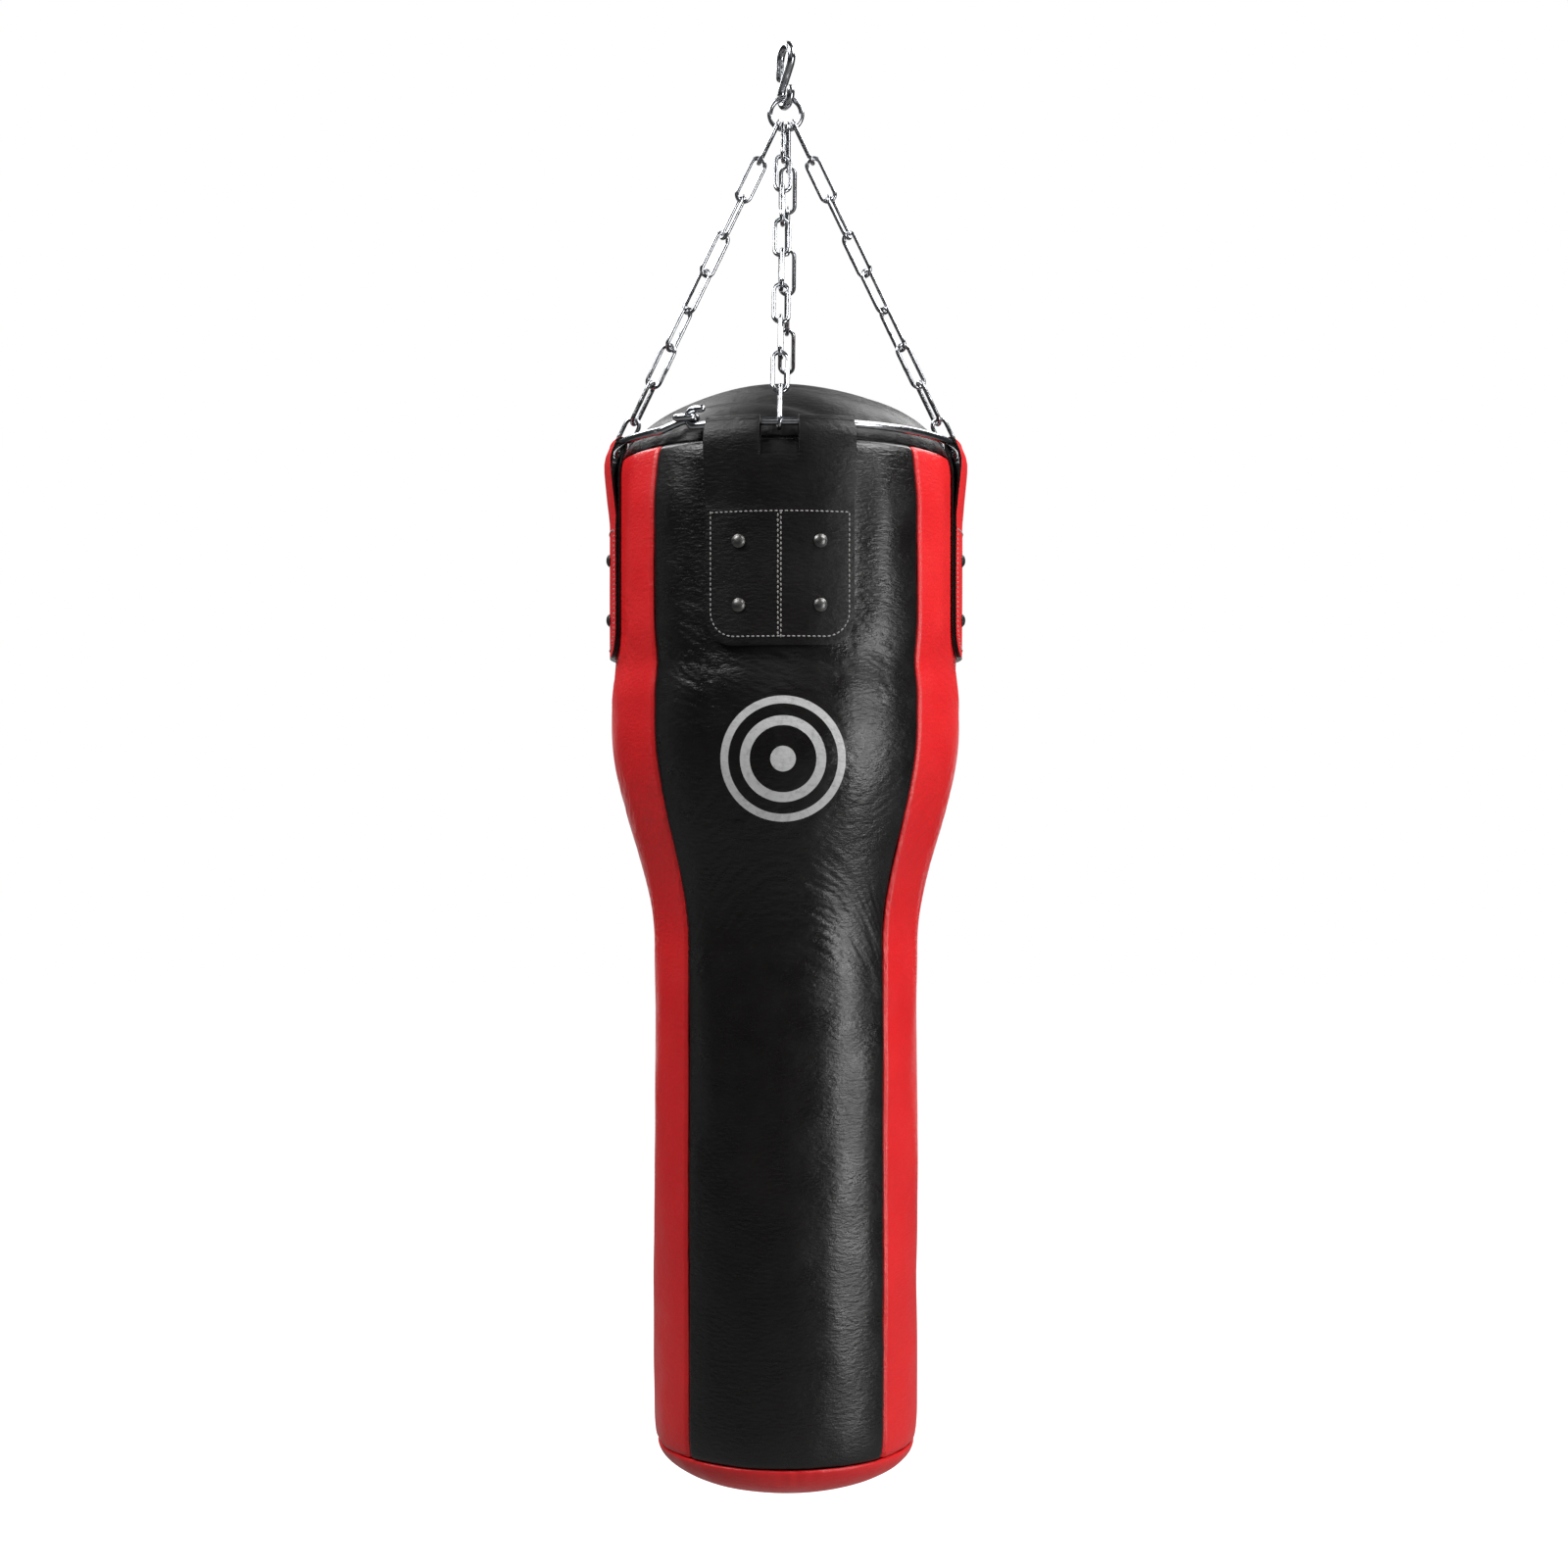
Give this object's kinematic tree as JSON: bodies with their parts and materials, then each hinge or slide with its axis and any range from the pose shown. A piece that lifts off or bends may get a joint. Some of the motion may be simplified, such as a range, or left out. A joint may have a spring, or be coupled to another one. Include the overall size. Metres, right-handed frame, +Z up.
{
  "type": "uppercut bag",
  "caption": "Hanging boxing bag for uppercuts: wide padded head tapering to a narrower body, folded straps on a hoop, chains, ring and S-hook.",
  "frame": {"origin": "inner saddle of the S-hook's upper loop, the point by which the bag hangs", "axes": "+Z up, -Y the bag's front, +X to the right as seen from the front"},
  "size_m": [0.398, 0.3964, 1.5839],
  "materials": {
    "zinc_steel": "bright zinc plated",
    "black_leather": "glossy synthetic leather",
    "red_leather": "glossy synthetic leather",
    "foam": "soft padding foam, hidden inside",
    "textile": "packed shredded textile, hidden inside"
  },
  "bodies": {
    "hook": {"s_hook": "zinc_steel"},
    "ring": {"collector_ring": "zinc_steel"},
    "bag": {"chain_front_1": "zinc_steel", "chain_front_2": "zinc_steel", "chain_front_3": "zinc_steel", "chain_front_4": "zinc_steel", "chain_front_5": "zinc_steel", "chain_front_6": "zinc_steel", "chain_front_7": "zinc_steel", "chain_front_8": "zinc_steel", "chain_front_9": "zinc_steel", "chain_right_1": "zinc_steel", "chain_right_2": "zinc_steel", "chain_right_3": "zinc_steel", "chain_right_4": "zinc_steel", "chain_right_5": "zinc_steel", "chain_right_6": "zinc_steel", "chain_right_7": "zinc_steel", "chain_right_8": "zinc_steel", "chain_right_9": "zinc_steel", "chain_back_1": "zinc_steel", "chain_back_2": "zinc_steel", "chain_back_3": "zinc_steel", "chain_back_4": "zinc_steel", "chain_back_5": "zinc_steel", "chain_back_6": "zinc_steel", "chain_back_7": "zinc_steel", "chain_back_8": "zinc_steel", "chain_back_9": "zinc_steel", "chain_left_1": "zinc_steel", "chain_left_2": "zinc_steel", "chain_left_3": "zinc_steel", "chain_left_4": "zinc_steel", "chain_left_5": "zinc_steel", "chain_left_6": "zinc_steel", "chain_left_7": "zinc_steel", "chain_left_8": "zinc_steel", "chain_left_9": "zinc_steel", "hoop": "zinc_steel", "strap_front": "black_leather", "strap_right": "red_leather", "strap_back": "black_leather", "strap_left": "red_leather", "rivets_front": "zinc_steel", "rivets_right": "zinc_steel", "rivets_back": "zinc_steel", "rivets_left": "zinc_steel", "front_panel": "black_leather", "right_panel": "red_leather", "back_panel": "black_leather", "left_panel": "red_leather", "top_cover": "black_leather", "bottom_cap": "red_leather", "foam_liner": "foam", "textile_fill": "textile"}
  },
  "joints": [
    {"name": "side_swing", "type": "hinge", "parent": "hook", "child": "ring", "pos_m": [0, 0, -0.0616], "axis": [0, 1, 0], "range_deg": [-30, 30]},
    {"name": "front_swing", "type": "hinge", "parent": "ring", "child": "bag", "pos_m": [0, 0, -0.0868], "axis": [1, 0, 0], "range_deg": [-30, 30]}
  ]
}
